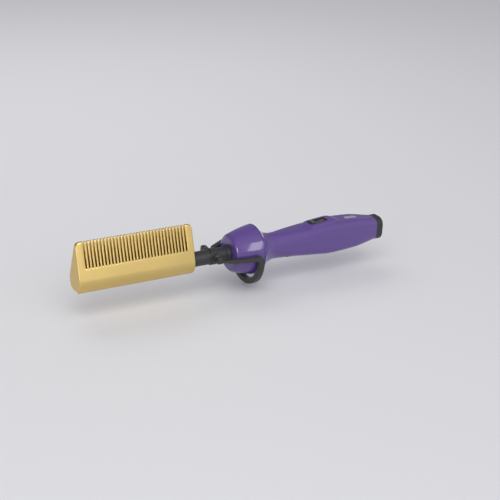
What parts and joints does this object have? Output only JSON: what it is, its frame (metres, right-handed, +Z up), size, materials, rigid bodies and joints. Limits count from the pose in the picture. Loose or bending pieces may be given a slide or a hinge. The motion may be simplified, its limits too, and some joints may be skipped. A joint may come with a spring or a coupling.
{
  "type": "electric hot comb",
  "caption": "Electric pressing comb with a slotted gilt metal head, a round heat guard, a moulded grip with a rocker switch, and a U-shaped folding stand hinged on the neck.",
  "frame": {"origin": "on the tool's axis at the mouth of the cord inlet, level with the end cap's rear face", "axes": "+X along the tool from the comb head to the cord inlet, +Z up the way the comb's long teeth point, +Y across the tool"},
  "size_m": [0.2641, 0.048, 0.0552],
  "materials": {
    "gilt": "satin gilt",
    "neck": "semi-gloss black enamel",
    "stand": "satin black",
    "shell": "glossy purple",
    "cap": "satin black",
    "switch": "dark grey, slightly glossy",
    "lens": "pale translucent",
    "lamp": "red, clear",
    "black_plastic": "moulded",
    "ceramic": "fired ceramic",
    "insulation": "glass fibre sleeve",
    "steel": "zinc plated",
    "dark_steel": "blackened",
    "wire": "silicone jacket",
    "board": "circuit board, green",
    "capacitor": "moulded box",
    "contact": "sprung brass"
  },
  "bodies": {
    "handle": {"comb_head": "gilt", "heater_plate": "ceramic", "heater_sleeve": "insulation", "heater_wedge": "steel", "temperature_sensor": "ceramic", "neck_tube": "neck", "head_ring": "neck", "head_screw": "steel", "thermal_fuse": "steel", "heater_leads": "wire", "sensor_leads": "wire", "stand_bracket": "neck", "stand_pins": "dark_steel", "stand_washers": "steel", "heat_guard": "shell", "guard_bush": "black_plastic", "neck_anchor": "black_plastic", "guard_screws": "steel", "grip_bottom": "shell", "grip_top": "shell", "grip_screws": "dark_steel", "circuit_board": "board", "board_screws": "steel", "film_capacitor": "capacitor", "triac": "black_plastic", "control_chip": "black_plastic", "resistors": "ceramic", "indicator_led": "lamp", "indicator_lens": "lens", "switch_body": "black_plastic", "rocker_pin": "steel", "switch_contacts": "contact", "end_cap": "cap", "retainer_plate": "black_plastic", "brush_holder": "black_plastic", "brush_contacts": "contact", "mains_leads": "wire"},
    "stand": {"stand": "stand"},
    "rocker": {"rocker": "switch"},
    "swivel": {"swivel_gland": "black_plastic", "slip_rings": "contact"}
  },
  "joints": [
    {"name": "stand_hinge", "type": "hinge", "parent": "handle", "child": "stand", "pos_m": [-0.153, 0, 0.002], "axis": [0, 1, 0], "range_deg": [0, 95]},
    {"name": "rocker_hinge", "type": "hinge", "parent": "handle", "child": "rocker", "pos_m": [-0.059, 0, 0.0118], "axis": [0, -1, 0], "range_deg": [0, 18]},
    {"name": "cord_swivel", "type": "hinge", "parent": "handle", "child": "swivel", "pos_m": [0, 0, 0], "axis": [1, 0, 0], "continuous": true}
  ]
}
